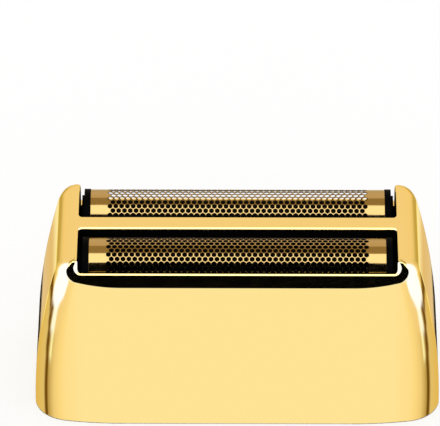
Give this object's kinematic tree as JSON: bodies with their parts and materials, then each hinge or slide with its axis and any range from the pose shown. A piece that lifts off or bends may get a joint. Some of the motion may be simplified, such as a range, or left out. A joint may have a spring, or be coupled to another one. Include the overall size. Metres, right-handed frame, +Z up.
{
  "type": "shaver foil head",
  "caption": "Gold-plated head of an electric foil shaver: a hollow shell with two arched perforated foils that float side by side in black frames.",
  "frame": {"origin": "centre of the base rim's box, on the plane that the head stands on", "axes": "+X along the foils, -Y the front, +Z up from the base rim to the foils"},
  "size_m": [0.06, 0.0278, 0.0274],
  "materials": {
    "gold_plating": "moulded plastic with a mirror-bright gold plating",
    "black_moulding": "black moulded plastic, lightly grained",
    "gold_foil": "thin electroformed metal sheet with a bright gold coating"
  },
  "bodies": {
    "housing": {"head_shell": "gold_plating", "inner_frame": "black_moulding"},
    "front_cassette": {"front_foil_frame": "black_moulding", "front_foil": "gold_foil"},
    "rear_cassette": {"rear_foil_frame": "black_moulding", "rear_foil": "gold_foil"}
  },
  "joints": [
    {"name": "front_foil_float", "type": "slide", "parent": "housing", "child": "front_cassette", "axis": [0, 0, 1], "range_m": [0, 0.001]},
    {"name": "rear_foil_float", "type": "slide", "parent": "housing", "child": "rear_cassette", "axis": [0, 0, 1], "range_m": [0, 0.001]}
  ]
}
